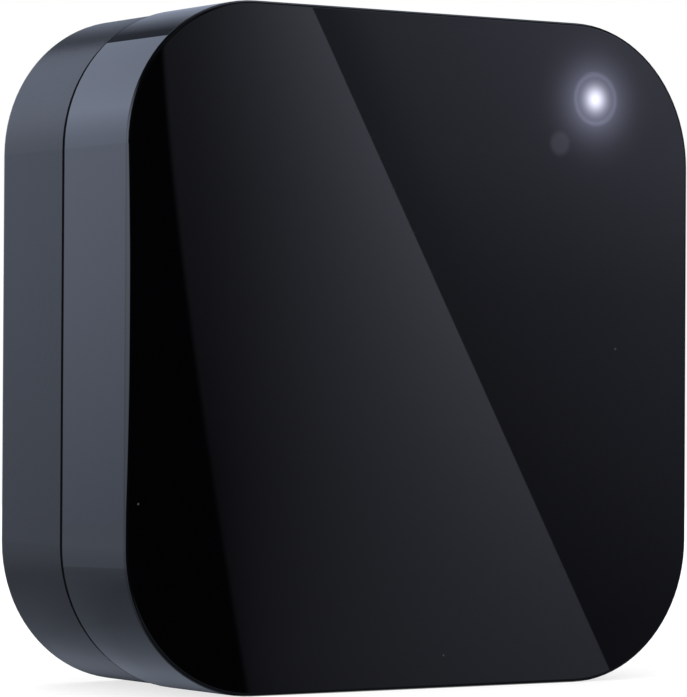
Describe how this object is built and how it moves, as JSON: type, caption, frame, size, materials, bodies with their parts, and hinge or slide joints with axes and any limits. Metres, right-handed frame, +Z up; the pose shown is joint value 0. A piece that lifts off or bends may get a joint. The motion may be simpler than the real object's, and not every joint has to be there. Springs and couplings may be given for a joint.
{
  "type": "infrared remote controller hub",
  "caption": "Upright square hub that relays radio commands to household appliances as infrared, with a gloss cover, a satin rear housing, a status light, a reset key and a power socket.",
  "frame": {"origin": "centre of the overall box at its lowest level, which is the bottom wall that the hub stands on", "axes": "+X to the right of someone facing the hub, +Y from the gloss front face to the back, +Z up"},
  "size_m": [0.096, 0.037, 0.096],
  "materials": {
    "gloss_cover": "gloss",
    "smoked_guide": "gloss",
    "satin_housing": "satin",
    "key_plastic": "satin",
    "foot_rubber": "matt",
    "screw_steel": "zinc plated",
    "board_laminate": "satin",
    "module_laminate": "satin",
    "clear_resin": "clear gloss",
    "tinned_wire": "tinned",
    "black_resin": "matt",
    "white_resin": "gloss",
    "chip_ceramic": "matt",
    "tinplate": "bright",
    "gilt_track": "bright",
    "capacitor_can": "bright",
    "socket_steel": "nickel plated"
  },
  "bodies": {
    "case": {"front_cover": "gloss_cover", "status_light_guide": "smoked_guide", "rear_housing": "satin_housing", "rubber_feet": "foot_rubber", "case_screws": "screw_steel", "board_screws": "screw_steel", "main_board": "board_laminate", "ir_emitters": "clear_resin", "ir_emitter_legs": "tinned_wire", "ir_receiver": "black_resin", "ir_receiver_legs": "tinned_wire", "status_led": "white_resin", "led_resistors": "chip_ceramic", "driver_transistors": "black_resin", "radio_module": "module_laminate", "radio_shield": "tinplate", "radio_antenna": "gilt_track", "voltage_regulator": "black_resin", "reservoir_capacitor": "capacitor_can", "capacitor_legs": "tinned_wire", "controller_ic": "black_resin", "crystal": "tinplate", "chip_capacitors": "chip_ceramic", "usb_shell": "socket_steel", "usb_insulator": "black_resin", "usb_contacts": "gilt_track", "switch_body": "black_resin", "switch_plate": "socket_steel"},
    "reset_button": {"reset_key": "key_plastic", "switch_plunger": "key_plastic"}
  },
  "joints": [
    {"name": "reset_press", "type": "slide", "parent": "case", "child": "reset_button", "axis": [0, -1, 0], "range_m": [0, 0.0003], "stiffness_N_per_m": 3000}
  ]
}
